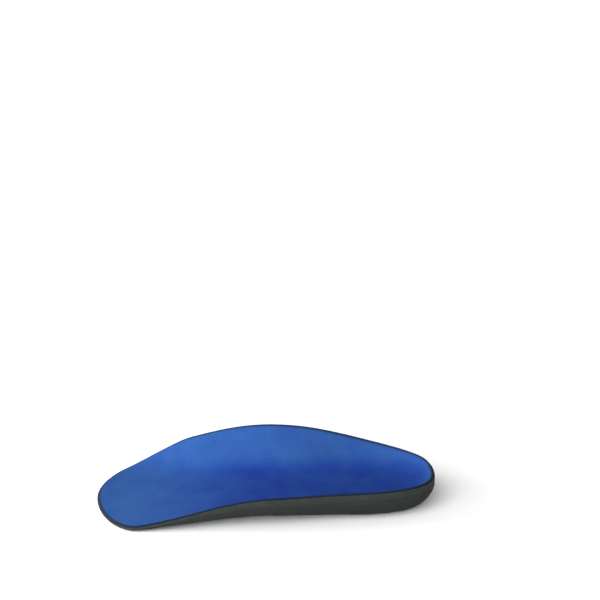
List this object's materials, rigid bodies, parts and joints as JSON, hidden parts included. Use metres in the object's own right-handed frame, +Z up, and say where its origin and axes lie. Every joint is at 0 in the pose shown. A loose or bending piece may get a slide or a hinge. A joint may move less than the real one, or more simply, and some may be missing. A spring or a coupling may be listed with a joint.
{
  "type": "cushioned insole",
  "caption": "Cushioned three-quarter shoe insole with a deep heel cup, a high inner arch and a textile cover.",
  "frame": {"origin": "on the ground, under the middle of the insole's outline", "axes": "+Y to the toes, +X to the inner side of the left foot, +Z up, out of the top cover"},
  "size_m": [0.0772, 0.174, 0.0303],
  "materials": {
    "cover_textile": "matt fine-knit textile, blue",
    "cushion_foam": "closed-cell foam, cut edge, dark grey",
    "shell_plastic": "satin moulded plastic",
    "pad_gel": "soft shock-absorbing elastomer",
    "base_foam": "ground firm closed-cell foam, dark grey"
  },
  "bodies": {
    "root": {"top_cover": "cover_textile", "cushion_foam": "cushion_foam", "support_shell": "shell_plastic", "heel_pad": "pad_gel", "base": "base_foam"}
  },
  "joints": []
}
